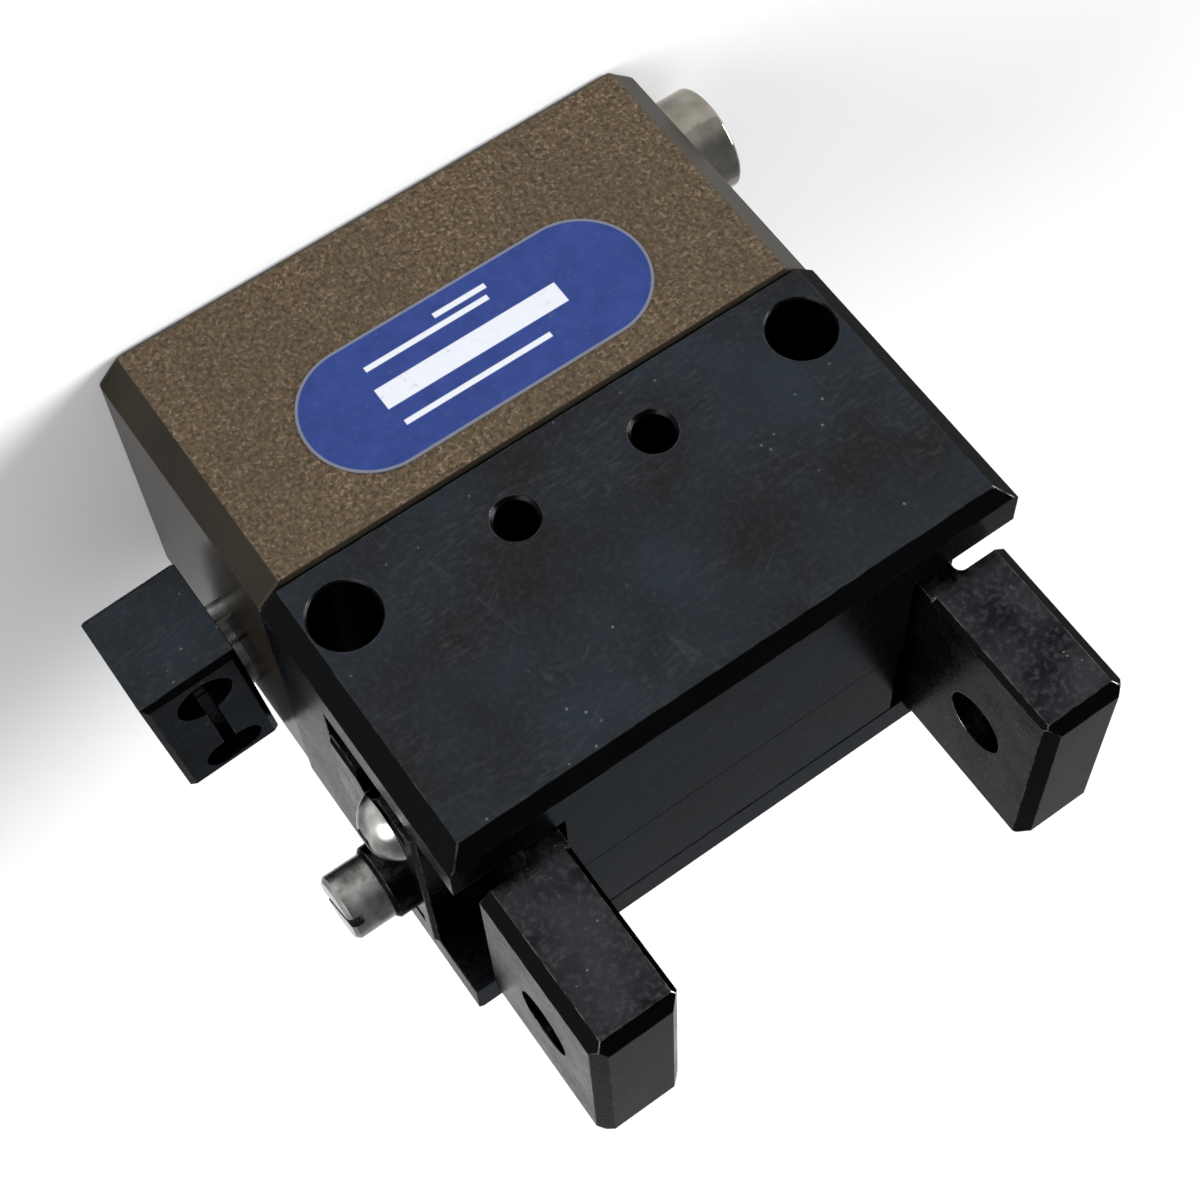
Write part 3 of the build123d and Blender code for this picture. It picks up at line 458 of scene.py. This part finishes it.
def cut_threads():
    """Threads in every tapped hole that can be looked into, each starting just inside its mouth."""
    mounts = {mount["name"]: mount for mount in frame["record"]["mounts"]}
    front = mounts["front_threads"]
    base = mounts["base_threads"]
    port = mounts["rear_air_port"]
    front_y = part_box("guide_block")[0].y
    port_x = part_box("housing")[0].x
    spots = []
    for sign in (-1, 1):
        x = sign * front["dims"]["spacing_x_mm"] / 2 * MM
        spots.append((front, M4_PITCH, M4_LENGTH, Vector((x, front_y, front["pos_m"][2])), (0, 1, 0)))
        for side in (-1, 1):
            x = sign * base["dims"]["spacing_x_mm"] / 2 * MM
            y = side * base["dims"]["spacing_y_mm"] / 2 * MM
            spots.append((base, M4_PITCH, M4_LENGTH, Vector((x, y, 0)), (0, 0, 1)))
    port_mouth = Vector((port_x, port["pos_m"][1], port["pos_m"][2]))
    spots.append((port, M5_PITCH, SHORT_LENGTH, port_mouth, (1, 0, 0)))
    for number, (mount, pitch, length, start, direction) in enumerate(spots):
        core = mount["dims"].get("r_mm") or mount["dims"]["hole_r_mm"]
        inset = MOUTH_INSET * MM * Vector(direction)
        name = f"{mount['name']}_{number}"
        slot = "black_anodised" if mount is front else "brown_anodised"
        add_thread(name, core, pitch, length, start + inset, direction, "body", slot)
    cut_left_jaw_threads()


def cut_left_jaw_threads():
    """The left jaw's end has two empty tapped holes, where the right jaw has its two screws."""
    low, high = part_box("cam_screw")
    middle = (low + high) / 2
    mouth_x = -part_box("cam_spacer")[0].x + JAW_INSET * MM
    for side in (-1, 1):
        start = Vector((mouth_x, side * middle.y, middle.z))
        name = f"left_cam_thread_{side + 1}"
        add_thread(name, M3_RADIUS, M3_PITCH, SHORT_LENGTH, start, (1, 0, 0), "left_jaw_set", "black_steel")


def add_thread(name, core, pitch, length, start, direction, body, slot):
    """One thread as a piece of its own: core, pitch and length are in millimetres."""
    piece = thread(name, core * MM, pitch * MM, length * MM, start, direction)
    piece.data.materials.append(materials[slot])
    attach(piece, body)


# ---------------------------------------------------------------- stage, lights and camera
FLOOR_REACH = 6.0
FLOOR_GAP = 0.05
SKY_TINT = (0.95, 0.97, 1.0, 1.0)

# The sky dims between these two heights, where 0 is the horizon and 1 is overhead.
DIM_FROM = 0.30
DIM_BY = 0.70


def pale_floor():
    """A pale matt sheet just under the part."""
    mesh = bpy.data.meshes.new("floor")
    corners = [(x * FLOOR_REACH, y * FLOOR_REACH, 0) for x, y in ((-1, -1), (1, -1), (1, 1), (-1, 1))]
    mesh.from_pydata(corners, [], [(0, 1, 2, 3)])
    floor = bpy.data.objects.new("floor", mesh)
    bpy.context.scene.collection.objects.link(floor)
    floor.location.z = cad_box[0].z - FLOOR_GAP * MM
    r = Recipe("floor_paint")
    shade = r.mix(r.noise(60.0, detail=2.0), (0.87, 0.87, 0.87), (0.90, 0.90, 0.895))
    mesh.materials.append(r.finish(shade, 0.9, 0.0, 0.1))


def sun(name, toward, strength, width):
    """A broad soft light that shines from far away, from the given direction."""
    light = bpy.data.lights.new(name, "SUN")
    light.energy = strength
    light.angle = math.radians(width)
    lamp = bpy.data.objects.new(name, light)
    lamp.rotation_mode = "QUATERNION"
    lamp.rotation_quaternion = Vector(toward).to_track_quat("Z", "Y")
    bpy.context.scene.collection.objects.link(lamp)


def soft_sky(low, high):
    """A sky that is bright near the horizon and dim overhead, so that black parts keep dark edges."""
    world = bpy.data.worlds.new("studio")
    world.use_nodes = True
    tree = world.node_tree
    back = tree.nodes["Background"]
    back.inputs["Color"].default_value = SKY_TINT
    direction = tree.nodes.new("ShaderNodeTexCoord").outputs["Generated"]
    parts = tree.nodes.new("ShaderNodeSeparateXYZ")
    tree.links.new(direction, parts.inputs[0])
    fall = tree.nodes.new("ShaderNodeMapRange")
    fall.interpolation_type = "SMOOTHSTEP"
    fall.inputs["From Min"].default_value = DIM_FROM
    fall.inputs["From Max"].default_value = DIM_BY
    fall.inputs["To Min"].default_value = low
    fall.inputs["To Max"].default_value = high
    tree.links.new(parts.outputs["Z"], fall.inputs["Value"])
    tree.links.new(fall.outputs["Result"], back.inputs["Strength"])
    bpy.context.scene.world = world


def photo_camera():
    """The photo's view: where the camera stands, and which ways its right side and its back look."""
    data = bpy.data.cameras.new("camera")
    data.lens = 75.63
    data.sensor_width = 36.0
    data.shift_x = -0.0254
    data.shift_y = -0.1068
    data.clip_end = 50.0
    camera = bpy.data.objects.new("camera", data)
    right = Vector((-0.8138, 0.0192, 0.5809)).normalized()
    back = Vector((0.2696, -0.873, 0.4065)).normalized()
    up = back.cross(right).normalized()
    right = up.cross(back)
    turn = Matrix((right, up, back)).transposed().to_4x4()
    camera.matrix_world = Matrix.Translation((0.0469, -0.1769, 0.1062)) @ turn
    bpy.context.scene.collection.objects.link(camera)
    bpy.context.scene.camera = camera


dress_nodes()
cut_threads()
photo_camera()
pale_floor()
soft_sky(0.70, 0.30)
sun("key", (-0.92, -0.28, 0.38), 5.2, 32)
sun("fill", (0.90, -0.40, 0.38), 2.2, 40)
bpy.context.scene.view_settings.view_transform = "Standard"
